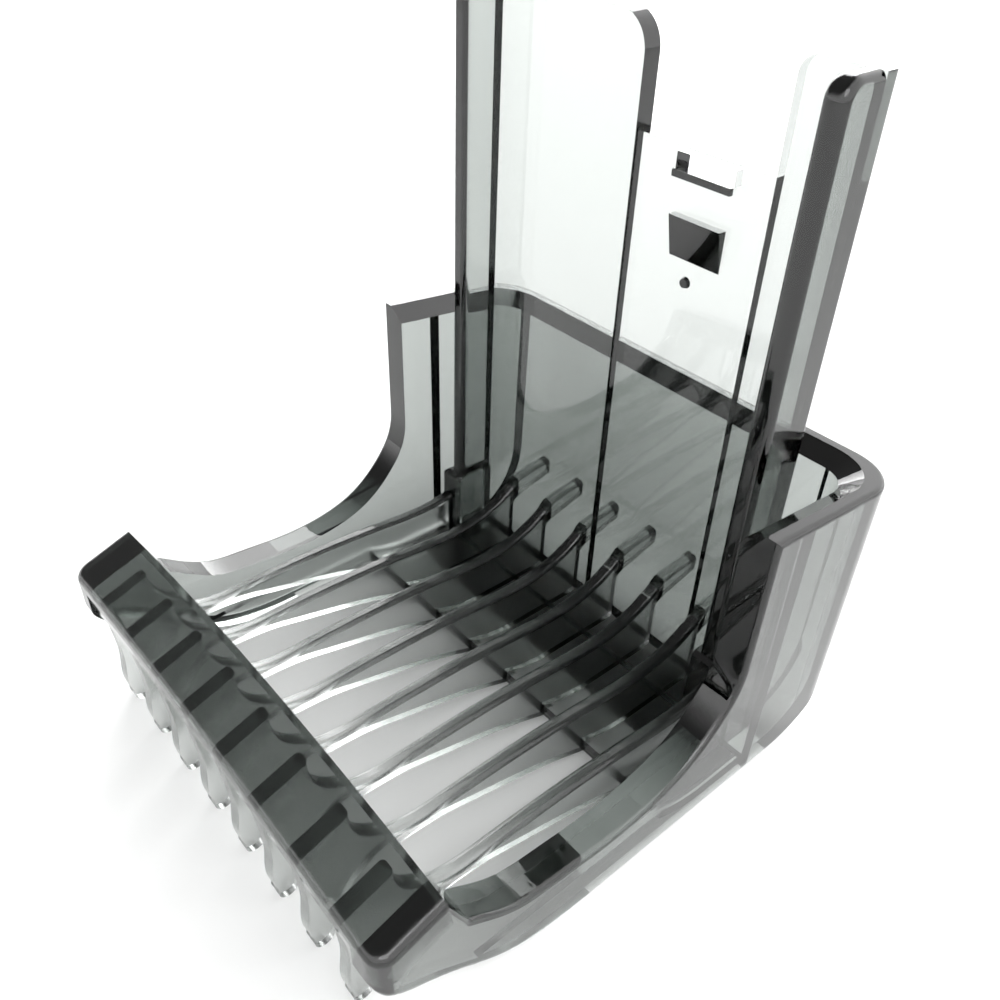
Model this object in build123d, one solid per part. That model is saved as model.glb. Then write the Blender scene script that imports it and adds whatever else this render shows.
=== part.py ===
from build123d import *
from math import cos, radians, sin, tan
import os

os.makedirs("parts", exist_ok=True)

# Clipper guard comb, smoky clear polycarbonate. Millimetres, +Z up, front bar at -Y.
# The origin is the middle of the footprint, on the surface that the comb stands on.

# Overall size
WIDTH = 50.4
DEPTH = 55.0
HEIGHT = 60.8
FRONT_Y = -DEPTH / 2
BACK_Y = DEPTH / 2
HALF = WIDTH / 2

# Slide plate, which stands behind the clipper head
PLATE_Y = 17.7            # front face of the plate
PLATE_T = 1.8
PLATE_HALF = 19.5
NOTCH_LEFT_X = -0.8
NOTCH_RIGHT_X = 13.0
NOTCH_Z = 52.2
PANEL_STEP = 0.15         # the latch panel's front face lies this much behind the ears
EAR_R = 3.0
EAR_TOP_R = 1.5

# Rails along the plate's edges, and their feet
RAIL_T = 2.0
RAIL_D = 4.0
RAIL_TIP_R = 1.6
RAIL_EDGE_R = 0.7
REAR_EDGE_R = 0.8
FOOT_TOP_Z = 10.2
FOOT_OUT = 0.7            # the foot stands out from the rail's outer side
FOOT_D = RAIL_D + 0.5
FOOT_INNER_X = PLATE_HALF - RAIL_T - 0.3
FOOT_BEVEL = 0.5

# Latch window, ledge, ramp and gate mark on the latch panel
WINDOW_X = 6.5
WINDOW_W = 5.8
WINDOW_H = 1.3
BRIDGE_H = 0.5
LEDGE_H = 0.6
LEDGE_OUT = 0.4
RAMP_X = 6.8
RAMP_W = 5.2
RAMP_H = 3.6
RAMP_OUT = 0.8
RAMP_TOP_Z = 47.0
PIP_X = 6.3
PIP_Z = 41.6
PIP_R = 0.5
PIP_OUT = 0.3

# Skirt
WALL = 3.1
FLOOR = 1.6
DRAFT = 0.5               # degrees, inwards towards the bottom
CORNER_R = 4.8
CORNER_INNER_R = 3.0
NOSE_R = 1.8              # upright corners at the ends of the front bar
NOSE_SLACK = 0.15         # makes up for the draft between the rim and the bar
HEEL_R = 9.8
HEEL_INNER_R = 7.8
RIM_FRONT_Z = 30.2
RIM_BACK_Z = 28.3
RIM_BEVEL_IN = 1.8        # inner bevel of the rim, across
RIM_BEVEL_DOWN = 1.3      # and down
OUTER_R = 0.5             # long outer edges of the rim and of the scooped sides
EDGE_R = 0.9              # long lower edges of the side walls
WALL_FRONT_Y = PLATE_Y - 8.5
FLOOR_FRONT_Y = PLATE_Y - 15.0
FLOOR_RISE = 1.3          # the floor's front edge is lifted by this much
LEDGE = 0.8               # the side walls' foot stands inwards by this much
CORNER_Y = 14.0
CORNER_X = HALF - CORNER_R - 1.0

# Front bar
BAR_REAR_Y = FRONT_Y + 5.8
BAR_REAR_Z = 15.2
BAR_FRONT_Z = 13.0
BAR_T = 3.0
BAR_ARCH = 2.0
BAR_EDGE_R = 0.9          # front and end edges of the bar's top

# Teeth
TEETH = 8
PITCH = 5.5
TOOTH_T = 1.4
TOOTH_EDGE_R = 0.45


def yz_solid(edges, x0, x1):
    """A solid with a closed (y, z) outline, from x0 to x1."""
    face = Plane.YZ * make_face(Curve() + edges)
    return Pos(x0, 0, 0) * extrude(face, amount=x1 - x0)


def block(x0, x1, y0, y1, z0, z1):
    """A plain box between two corners."""
    centre = Pos((x0 + x1) / 2, (y0 + y1) / 2, (z0 + z1) / 2)
    return centre * Box(x1 - x0, y1 - y0, z1 - z0)


def rim_z(y):
    """Height of the rim's top plane at a place along the comb."""
    share = (y - WALL_FRONT_Y) / (BACK_Y - WALL_FRONT_Y)
    return RIM_FRONT_Z + (RIM_BACK_Z - RIM_FRONT_Z) * share


def draft_at(z):
    """How far a drafted wall has moved inwards at a height."""
    return tan(radians(DRAFT)) * (RIM_FRONT_Z - z)


def heel_points(wall_y, base_z, radius):
    """Both ends of the arc that joins a level base to the drafted rear wall."""
    slope = radians(DRAFT)
    centre_z = base_z + radius
    centre_y = wall_y - draft_at(centre_z) - radius / cos(slope)
    end = (centre_y + radius * cos(slope), centre_z - radius * sin(slope))
    return (centre_y, base_z), end


def tapered_plan(half, back_y, rear_r, nose_y, nose_r):
    """An upright block with rounded corners that narrows towards the bottom."""
    plan = Pos(0, (back_y + nose_y) / 2) * Rectangle(2 * half, back_y - nose_y)
    plan = fillet(plan.vertices().group_by(Axis.Y)[-1], rear_r)
    if nose_r:
        plan = fillet(plan.vertices().group_by(Axis.Y)[0], nose_r)
    return extrude(Pos(0, 0, RIM_FRONT_Z) * plan, amount=-RIM_FRONT_Z - 1, taper=DRAFT)


def skirt_side_edges():
    """The skirt from the side: rim, swept front edge, lifted nose and round heel."""
    p = PLATE_Y
    rim_front = (WALL_FRONT_Y, rim_z(WALL_FRONT_Y))
    rear = BACK_Y + 1
    rim_back = (rear, rim_z(rear))
    sweep_top = (WALL_FRONT_Y, 17.0)
    bar_rear = (BAR_REAR_Y, BAR_REAR_Z)
    bar_front = (FRONT_Y, BAR_FRONT_Z)
    bar_under = (FRONT_Y, BAR_FRONT_Z - BAR_T)
    keel = (p - 24.0, 0)
    heel_start, heel_end = heel_points(BACK_Y, 0, HEEL_R)
    scoop = Spline(
        sweep_top, (p - 10.6, 11.6), (p - 14.0, 8.6), (p - 19.0, 7.0), (p - 24.0, 6.8),
        (p - 28.5, 7.2), (p - 33.0, 8.1), (p - 36.8, 10.6), bar_rear,
        tangents=[(0, -1), (-0.5, 1)])
    nose = Spline(
        bar_under, (FRONT_Y + 4.6, 6.2), (FRONT_Y + 10.5, 2.2), keel,
        tangents=[(0.4, -1), (1, 0)])
    return [
        Line(rim_back, rim_front),
        Line(rim_front, sweep_top),
        scoop,
        Line(bar_rear, bar_front),
        Line(bar_front, bar_under),
        nose,
        Line(keel, heel_start),
        RadiusArc(heel_start, heel_end, -HEEL_R),
        Line(heel_end, (rear, heel_end[1])),
        Line((rear, heel_end[1]), rim_back),
    ]


def cavity_side_edges():
    """The hollow inside the skirt from the side, with its round inner heel."""
    top = 2 * RIM_FRONT_Z
    front = 2 * FRONT_Y
    floor_front = (FLOOR_FRONT_Y, FLOOR + FLOOR_RISE)
    floor_rear = (PLATE_Y - 9.0, FLOOR)
    heel_start, heel_end = heel_points(BACK_Y - WALL, FLOOR, HEEL_INNER_R)
    return [
        Line((front, floor_front[1]), floor_front),
        Spline(floor_front, floor_rear, tangents=[(1, -0.4), (1, 0)]),
        Line(floor_rear, heel_start),
        RadiusArc(heel_start, heel_end, -HEEL_INNER_R),
        Line(heel_end, (BACK_Y, heel_end[1])),
        Line((BACK_Y, heel_end[1]), (BACK_Y, top)),
        Line((BACK_Y, top), (front, top)),
        Line((front, top), (front, floor_front[1])),
    ]


def underside_edges():
    """What lies below the teeth and below the front of the floor, from the side."""
    p = PLATE_Y
    hook = (p - 36.5, 6.7)
    heel = (p - 9.0, 0)
    curve = Spline(
        hook, (p - 28.5, 5.6), (p - 19.3, 3.1), (p - 14.0, 1.1), heel,
        tangents=[(1, 0), (1, 0)])
    return [
        curve,
        Line(heel, (heel[0], -2)),
        Line((heel[0], -2), (hook[0], -2)),
        Line((hook[0], -2), hook),
    ]


def make_skirt():
    """The whole skirt as one shell, before it is divided into its walls."""
    side = yz_solid(skirt_side_edges(), -HALF, HALF)
    outer = tapered_plan(HALF, BACK_Y, CORNER_R, FRONT_Y - NOSE_SLACK, NOSE_R) & side
    sides = outer.edges().filter_by(lambda e: abs(e.center().X) > HALF - 2 * draft_at(0))
    outer = fillet(sides.filter_by(lambda e: e.center().Z < 4), EDGE_R)
    outer = fillet(outer.edges().filter_by(is_outer_lip), OUTER_R)
    inner = tapered_plan(HALF - WALL, BACK_Y - WALL, CORNER_INNER_R, 2 * FRONT_Y, 0)
    cavity = inner & yz_solid(cavity_side_edges(), -HALF, HALF)
    shell = outer - cavity
    rim = shell.faces().filter_by(lambda f: f.center().Z > RIM_BACK_Z)
    rim = rim.sort_by(SortBy.AREA)[-1]
    lips = rim.edges().filter_by(is_inner_lip)
    shell = chamfer(lips, RIM_BEVEL_IN, RIM_BEVEL_DOWN, reference=rim)
    open_half = HALF - WALL - LEDGE
    gap = block(-open_half, open_half, 2 * FRONT_Y, FLOOR_FRONT_Y, -1, FLOOR + FLOOR_RISE + 1)
    under = yz_solid(underside_edges(), -open_half, open_half)
    return shell - gap - under - make_bar_stock()


def is_outer_lip(edge):
    """Whether an edge runs along the outside of the rim, the sides' front or the scoop."""
    c = edge.center()
    at_side = abs(c.X) > HALF - 2 * draft_at(0) and c.Y < WALL_FRONT_Y + 1 and c.Z > 6
    at_rim = c.Z > rim_z(BACK_Y) - 0.2 and c.Y > WALL_FRONT_Y + 1
    return at_rim or (at_side and c.Y > BAR_REAR_Y)


def is_inner_lip(edge):
    """Whether an edge of the rim runs along the inside of the skirt."""
    c = edge.center()
    inside = abs(c.X) < HALF - WALL + 0.1 and c.Y < BACK_Y - WALL + 0.1
    return inside and c.Y > WALL_FRONT_Y + 1


def make_bar_stock():
    """The front bar with square ends, arched up in the middle."""
    reach = HALF + 1
    rear_top = (BAR_REAR_Y, BAR_REAR_Z)
    front_top = (FRONT_Y - 0.2, BAR_FRONT_Z)
    front_low = (FRONT_Y + 0.3, BAR_FRONT_Z - BAR_T)
    rear_low = (BAR_REAR_Y + 0.5, BAR_REAR_Z - BAR_T)
    corners = [rear_top, front_top, front_low, rear_low, rear_top]
    edges = [Line(a, b) for a, b in zip(corners, corners[1:])]
    face = Pos(-reach, 0, 0) * (Plane.YZ * make_face(Curve() + edges))
    arch = ThreePointArc((-reach, 0, 0), (0, 0, BAR_ARCH), (reach, 0, 0))
    return sweep(face, path=arch)


def make_front_bar():
    """The bar that joins the teeth's front ends, round at its front and end edges."""
    plan = tapered_plan(HALF, BACK_Y, CORNER_R, FRONT_Y - NOSE_SLACK, NOSE_R)
    bar = make_bar_stock() & plan
    top = bar.faces().sort_by(Axis.Z)[-1]
    rear_y = top.edges().sort_by(Axis.Y)[-1].center().Y
    edges = top.edges().filter_by(lambda e: e.center().Y < rear_y - 1)
    return fillet(edges, BAR_EDGE_R)


def tooth_edges():
    """A tooth from the side: hooked tip, long blade, hump, and a thin rib behind the plate."""
    p = PLATE_Y
    lip = (p - 44.8, 12.4)
    bar_rear = (p - 39.6, 14.4)
    top_end = (p + 7.6, 10.9)
    rib_end = (p + 7.6, 9.4)
    rib_start = (p, 7.4)
    foot_end = (p, 0)
    heel = (p - 9.0, 0)
    hook = (p - 36.5, 6.7)
    tip_front = (p - 44.2, 1.2)
    tip_rear = (p - 42.6, 0.6)
    blade = Spline(
        bar_rear, (p - 38.0, 9.3), (p - 36.0, 8.2), (p - 30.8, 7.7), (p - 15.0, 7.2),
        (p - 6.0, 6.9), (p - 1.6, 8.3), (p + 0.9, 9.8), (p + 4.0, 10.6), top_end)
    under = Spline(
        heel, (p - 14.0, 1.1), (p - 19.3, 3.1), (p - 28.5, 5.6), hook,
        tangents=[(-1, 0), (-1, 0)])
    inner = Spline(
        hook, (p - 38.6, 6.0), (p - 40.7, 4.0), tip_rear,
        tangents=[(-1, 0), (-0.5, -1)])
    outer = Spline(
        tip_front, (p - 44.5, 3.8), (p - 44.3, 5.8), (p - 44.4, 8.1), lip)
    return [
        Line(lip, bar_rear),
        blade,
        Line(top_end, rib_end),
        Line(rib_end, rib_start),
        Line(rib_start, foot_end),
        Line(foot_end, heel),
        under,
        inner,
        ThreePointArc(tip_rear, (p - 43.4, 0), tip_front),
        outer,
    ]


def make_tooth(index, skirt):
    """One tooth, without what the bar, the skirt and a rail's foot take up."""
    x = (index - (TEETH - 1) / 2) * PITCH
    tooth = yz_solid(tooth_edges(), x - TOOTH_T / 2, x + TOOTH_T / 2)
    tops = tooth.faces().filter_by(lambda f: f.normal_at().Z > 0.5 and f.area > 20)
    long_edges = tops.edges().filter_by(lambda e: abs(e.center().X - x) > 0.1)
    tooth = fillet(long_edges, TOOTH_EDGE_R) - make_bar_stock() - skirt
    if abs(x) + TOOTH_T / 2 > FOOT_INNER_X:
        tooth = tooth - block(-HALF, HALF, PLATE_Y - FOOT_D, 2 * BACK_Y, -1, HEIGHT)
    return tooth.solids().sort_by(SortBy.VOLUME)[-1]


def plate_piece(x0, x1, front_y, top_z, left_r, right_r):
    """One upright part of the plate, with its two top corners rounded."""
    piece = block(x0, x1, front_y, PLATE_Y + PLATE_T, FLOOR, top_z)
    top = piece.edges().filter_by(Axis.Y).group_by(Axis.Z)[-1].sort_by(Axis.X)
    if left_r:
        piece = fillet(top[0], left_r)
    top = piece.edges().filter_by(Axis.Y).group_by(Axis.Z)[-1].sort_by(Axis.X)
    if right_r:
        piece = fillet(top[-1], right_r)
    return piece


def ease_rear_edge(ear, at_left):
    """Rounds the ear's outer upright edge on the rear."""
    edges = ear.edges().filter_by(Axis.Z).group_by(Axis.Y)[-1].sort_by(Axis.X)
    edge = edges[0] if at_left else edges[-1]
    return fillet(edge, REAR_EDGE_R)


def make_left_ear():
    """The wide, tall part of the plate."""
    ear = plate_piece(-PLATE_HALF, NOTCH_LEFT_X, PLATE_Y, HEIGHT, 0, EAR_R)
    return ease_rear_edge(ear, True)


def make_right_ear():
    """The narrow, tall part of the plate."""
    ear = plate_piece(NOTCH_RIGHT_X, PLATE_HALF, PLATE_Y, HEIGHT, EAR_TOP_R, 0)
    return ease_rear_edge(ear, False)


def make_latch_panel():
    """The low part of the plate, with the window that the latch clicks into."""
    panel = plate_piece(NOTCH_LEFT_X, NOTCH_RIGHT_X, PLATE_Y + PANEL_STEP, NOTCH_Z, 0, 0)
    top = NOTCH_Z - BRIDGE_H
    x0 = WINDOW_X - WINDOW_W / 2
    return panel - block(x0, x0 + WINDOW_W, PLATE_Y - 1, BACK_Y, top - WINDOW_H, top)


def make_latch_ledge():
    """The thin step below the window."""
    x0 = WINDOW_X - WINDOW_W / 2
    top = NOTCH_Z - BRIDGE_H - WINDOW_H
    front = PLATE_Y + PANEL_STEP - LEDGE_OUT
    return block(x0, x0 + WINDOW_W, front, PLATE_Y + PANEL_STEP, top - LEDGE_H, top)


def make_latch_ramp():
    """The wedge that lifts the latch, thick at the top and flush at the bottom."""
    face_y = PLATE_Y + PANEL_STEP
    corners = [
        (face_y, RAMP_TOP_Z), (face_y - RAMP_OUT, RAMP_TOP_Z),
        (face_y, RAMP_TOP_Z - RAMP_H), (face_y, RAMP_TOP_Z)]
    edges = [Line(a, b) for a, b in zip(corners, corners[1:])]
    return yz_solid(edges, RAMP_X - RAMP_W / 2, RAMP_X + RAMP_W / 2)


def make_gate_pip():
    """The mark that the moulding gate leaves."""
    face = Pos(PIP_X, PLATE_Y + PANEL_STEP, PIP_Z) * Rot(X=90) * Circle(PIP_R)
    return extrude(face, amount=PIP_OUT, dir=(0, -1, 0), taper=20)


def make_rail(side):
    """The upright rail along one edge of the plate; side is -1 or 1."""
    x0, x1 = sorted([side * PLATE_HALF, side * (PLATE_HALF - RAIL_T)])
    rail = block(x0, x1, PLATE_Y - RAIL_D, PLATE_Y, FOOT_TOP_Z, HEIGHT)
    tip = rail.edges().filter_by(Axis.X).group_by(Axis.Z)[-1].sort_by(Axis.Y)[0]
    rail = fillet(tip, RAIL_TIP_R)
    front = rail.edges().filter_by(Axis.Z).group_by(Axis.Y)[0]
    return fillet(front, RAIL_EDGE_R)


def make_rail_foot(side):
    """The wider block that a rail stands on."""
    x0, x1 = sorted([side * FOOT_INNER_X, side * (PLATE_HALF + FOOT_OUT)])
    foot = block(x0, x1, PLATE_Y - FOOT_D, PLATE_Y, FLOOR, FOOT_TOP_Z)
    front = foot.edges().group_by(Axis.Z)[-1].filter_by(Axis.X).sort_by(Axis.Y)[0]
    foot = chamfer(front, FOOT_BEVEL - 0.05)
    outer = foot.edges().group_by(Axis.Z)[-1].filter_by(Axis.Y).sort_by(Axis.X)
    return chamfer(outer[0 if side < 0 else -1], FOOT_BEVEL)


def skirt_zones():
    """The blocks that divide the skirt, for its right half and its middle."""
    far = 2 * WIDTH
    open_half = HALF - WALL - LEDGE
    return {
        "right_side_wall": block(open_half, far, -far, CORNER_Y, -1, far),
        "right_rear_corner": block(CORNER_X, far, CORNER_Y, far, -1, far),
        "back_wall": block(-CORNER_X, CORNER_X, CORNER_Y, far, -1, far),
        "rear_floor": block(-open_half, open_half, -far, CORNER_Y, -1, far),
    }


def make_nodes():
    """Every named piece of the comb."""
    skirt = make_skirt()
    nodes = {name: skirt & zone for name, zone in skirt_zones().items()}
    for piece in ("side_wall", "rear_corner"):
        nodes[f"left_{piece}"] = mirror(nodes[f"right_{piece}"], about=Plane.YZ)
    nodes["front_bar"] = make_front_bar()
    teeth = [make_tooth(index, skirt) for index in range(TEETH)]
    for number, tooth in enumerate(teeth, 1):
        nodes[f"comb_tooth_{number}"] = tooth
    nodes["left_ear"] = make_left_ear() - teeth - skirt
    nodes["latch_panel"] = make_latch_panel() - teeth - skirt
    nodes["right_ear"] = make_right_ear() - teeth - skirt
    nodes["latch_ledge"] = make_latch_ledge()
    nodes["latch_ramp"] = make_latch_ramp()
    nodes["gate_pip"] = make_gate_pip()
    for name, side in (("left", -1), ("right", 1)):
        nodes[f"{name}_rail"] = make_rail(side)
        nodes[f"{name}_rail_foot"] = make_rail_foot(side) - skirt
    return nodes


for name, shape in make_nodes().items():
    export_step(shape, f"parts/{name}.step")
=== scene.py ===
import math

import bpy
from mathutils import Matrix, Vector

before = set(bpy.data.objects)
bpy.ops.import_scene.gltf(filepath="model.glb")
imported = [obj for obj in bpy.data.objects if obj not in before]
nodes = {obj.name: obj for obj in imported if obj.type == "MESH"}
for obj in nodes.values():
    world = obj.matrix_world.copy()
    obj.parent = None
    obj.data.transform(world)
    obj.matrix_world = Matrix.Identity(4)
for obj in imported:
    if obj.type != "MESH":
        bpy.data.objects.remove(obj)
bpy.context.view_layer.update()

MM = 0.001

# Smoky clear plastic. Absorption per metre is a density times (1 - colour). The real part
# is one plastic; the densities differ from piece to piece as painted shade and painted
# light, so that each piece looks about as dark as its shadow and internal reflection make
# it.
IOR = 1.58
SURFACE_TINT = (0.98, 0.985, 0.98, 1)
ABSORPTION_COLOR = (0.61, 0.63, 0.62, 1)
WALL_DENSITY_WITH_PAINTED_SHADE = 740.0
PLATE_DENSITY_WITH_PAINTED_SHADE = 880.0
TOOTH_DENSITY_WITH_PAINTED_SHADE = 620.0
BAR_DENSITY_WITH_PAINTED_SHADE = 1200.0
RAIL_DENSITY_WITH_PAINTED_SHADE = 1300.0
FLOOR_DENSITY_WITH_PAINTED_SHADE = 600.0

# Noise in the surface: wipe marks change the roughness, moulding ripple tilts the normal
WIPE_SCALE = 180.0
WIPE_DETAIL = 4.0
RIPPLE_SCALE = 260.0
RIPPLE_DETAIL = 1.0

# White surround with a dim zone overhead, towards the upper left of the comb
SURROUND = 2.3
CEILING = 0.28
SURROUND_UP_TO = 0.5      # sine of the height above the tilted horizon
CEILING_FROM = 0.8
DIM_ZONE_TILT = (-0.1809, 0.5832, -0.0544)      # radians about X, Y and Z

TABLE_SIZE = 4.0
TABLE_COLOR = (0.9, 0.905, 0.9, 1)
TABLE_ROUGHNESS = 0.6

# Soft boxes: place, watts. Both are square, of one size, and face a point inside the comb.
LEFT_BOX = ((-0.75, 0.75, 0.6), 11.0)
FRONT_BOX = ((0.7, -0.8, 0.9), 6.0)
BOX_SIZE = 0.8
BOX_AIM = Vector((0, 0, 0.02))

CAMERA_PLACE = (0.05297, -0.04354, 0.07579)
CAMERA_ANGLES = (52.797, -1.808, 49.503)        # degrees about X, Y and Z
CAMERA_LENS = 35.35


def polycarbonate(name, density, rough, rough_spread, ripple):
    """Smoky clear plastic that darkens with depth, by a density that also carries painted
    shade.

    Roughness runs from rough to rough + rough_spread over the wipe marks, and ripple is the
    height of the moulding ripple in metres.
    """
    material = bpy.data.materials.new(name)
    material.use_nodes = True
    tree = material.node_tree
    shader = tree.nodes["Principled BSDF"]
    shader.inputs["Base Color"].default_value = SURFACE_TINT
    shader.inputs["Transmission Weight"].default_value = 1.0
    shader.inputs["IOR"].default_value = IOR
    coords = tree.nodes.new("ShaderNodeTexCoord")
    wipe = tree.nodes.new("ShaderNodeTexNoise")
    wipe.inputs["Scale"].default_value = WIPE_SCALE
    wipe.inputs["Detail"].default_value = WIPE_DETAIL
    spread = tree.nodes.new("ShaderNodeMapRange")
    spread.inputs["To Min"].default_value = rough
    spread.inputs["To Max"].default_value = rough + rough_spread
    wave = tree.nodes.new("ShaderNodeTexNoise")
    wave.inputs["Scale"].default_value = RIPPLE_SCALE
    wave.inputs["Detail"].default_value = RIPPLE_DETAIL
    bump = tree.nodes.new("ShaderNodeBump")
    bump.inputs["Strength"].default_value = 1.0
    bump.inputs["Distance"].default_value = ripple
    tree.links.new(coords.outputs["Object"], wipe.inputs["Vector"])
    tree.links.new(wipe.outputs["Fac"], spread.inputs["Value"])
    tree.links.new(spread.outputs["Result"], shader.inputs["Roughness"])
    tree.links.new(coords.outputs["Object"], wave.inputs["Vector"])
    tree.links.new(wave.outputs["Fac"], bump.inputs["Height"])
    tree.links.new(bump.outputs["Normal"], shader.inputs["Normal"])
    depth = tree.nodes.new("ShaderNodeVolumeAbsorption")
    depth.inputs["Color"].default_value = ABSORPTION_COLOR
    depth.inputs["Density"].default_value = density
    output = tree.nodes["Material Output"]
    tree.links.new(depth.outputs["Volume"], output.inputs["Volume"])
    return material


# Shaded copies of one plastic: each density paints in the piece's own shade and light.
wall = polycarbonate("smoky_wall", WALL_DENSITY_WITH_PAINTED_SHADE, 0.01, 0.02, 0.002 * MM)
plate = polycarbonate("smoky_plate", PLATE_DENSITY_WITH_PAINTED_SHADE, 0.01, 0.01, 0.001 * MM)
tooth = polycarbonate("smoky_tooth_painted_shade", TOOTH_DENSITY_WITH_PAINTED_SHADE, 0.14, 0.1, 0.004 * MM)
bar = polycarbonate("smoky_bar_painted_shade", BAR_DENSITY_WITH_PAINTED_SHADE, 0.06, 0.06, 0.02 * MM)
rail = polycarbonate("smoky_rail_painted_shade", RAIL_DENSITY_WITH_PAINTED_SHADE, 0.02, 0.02, 0.002 * MM)
slab = polycarbonate("smoky_slab_painted_shade", FLOOR_DENSITY_WITH_PAINTED_SHADE, 0.03, 0.03, 0.004 * MM)


def material_for(name):
    """The plastic of one named piece."""
    if "tooth" in name:
        return tooth
    if name == "front_bar":
        return bar
    if "rail" in name:
        return rail
    if name == "rear_floor":
        return slab
    if "wall" in name or "corner" in name:
        return wall
    return plate


for name, piece in nodes.items():
    piece.data.materials.clear()
    piece.data.materials.append(material_for(name))
    for polygon in piece.data.polygons:
        polygon.material_index = 0


def pale_floor():
    """The pale surface that the comb stands on."""
    bpy.ops.mesh.primitive_plane_add(size=TABLE_SIZE, location=(0, 0, 0))
    floor = bpy.context.object
    floor.name = "floor"
    material = bpy.data.materials.new("floor_white")
    material.use_nodes = True
    shader = material.node_tree.nodes["Principled BSDF"]
    shader.inputs["Base Color"].default_value = TABLE_COLOR
    shader.inputs["Roughness"].default_value = TABLE_ROUGHNESS
    floor.data.materials.append(material)


def softbox(name, place, power):
    """A square area light that faces the comb."""
    light = bpy.data.lights.new(name, "AREA")
    light.shape = "SQUARE"
    light.size = BOX_SIZE
    light.energy = power
    lamp = bpy.data.objects.new(name, light)
    lamp.location = place
    aim = BOX_AIM - Vector(place)
    lamp.rotation_euler = aim.to_track_quat("-Z", "Y").to_euler()
    bpy.context.scene.collection.objects.link(lamp)


def studio_surround():
    """A white surround that fades to a dim zone overhead."""
    world = bpy.data.worlds.new("surround")
    world.use_nodes = True
    tree = world.node_tree
    back = tree.nodes["Background"]
    back.inputs["Color"].default_value = (1.0, 1.0, 1.0, 1)
    coords = tree.nodes.new("ShaderNodeTexCoord")
    tilt = tree.nodes.new("ShaderNodeMapping")
    tilt.inputs["Rotation"].default_value = DIM_ZONE_TILT
    split = tree.nodes.new("ShaderNodeSeparateXYZ")
    fade = tree.nodes.new("ShaderNodeMapRange")
    fade.interpolation_type = "SMOOTHSTEP"
    fade.inputs["From Min"].default_value = SURROUND_UP_TO
    fade.inputs["From Max"].default_value = CEILING_FROM
    fade.inputs["To Min"].default_value = SURROUND
    fade.inputs["To Max"].default_value = CEILING
    tree.links.new(coords.outputs["Generated"], tilt.inputs["Vector"])
    tree.links.new(tilt.outputs["Vector"], split.inputs["Vector"])
    tree.links.new(split.outputs["Z"], fade.inputs["Value"])
    tree.links.new(fade.outputs["Result"], back.inputs["Strength"])
    bpy.context.scene.world = world


def camera():
    """The camera, at the view that the comb is matched to."""
    data = bpy.data.cameras.new("camera")
    data.sensor_width = 36.0
    data.lens = CAMERA_LENS
    data.clip_start = 0.001
    data.clip_end = 20.0
    eye = bpy.data.objects.new("camera", data)
    eye.location = CAMERA_PLACE
    eye.rotation_euler = [math.radians(a) for a in CAMERA_ANGLES]
    bpy.context.scene.collection.objects.link(eye)
    bpy.context.scene.camera = eye


pale_floor()
studio_surround()
softbox("left_box", *LEFT_BOX)
softbox("front_box", *FRONT_BOX)
camera()
bpy.context.scene.view_settings.view_transform = "Standard"
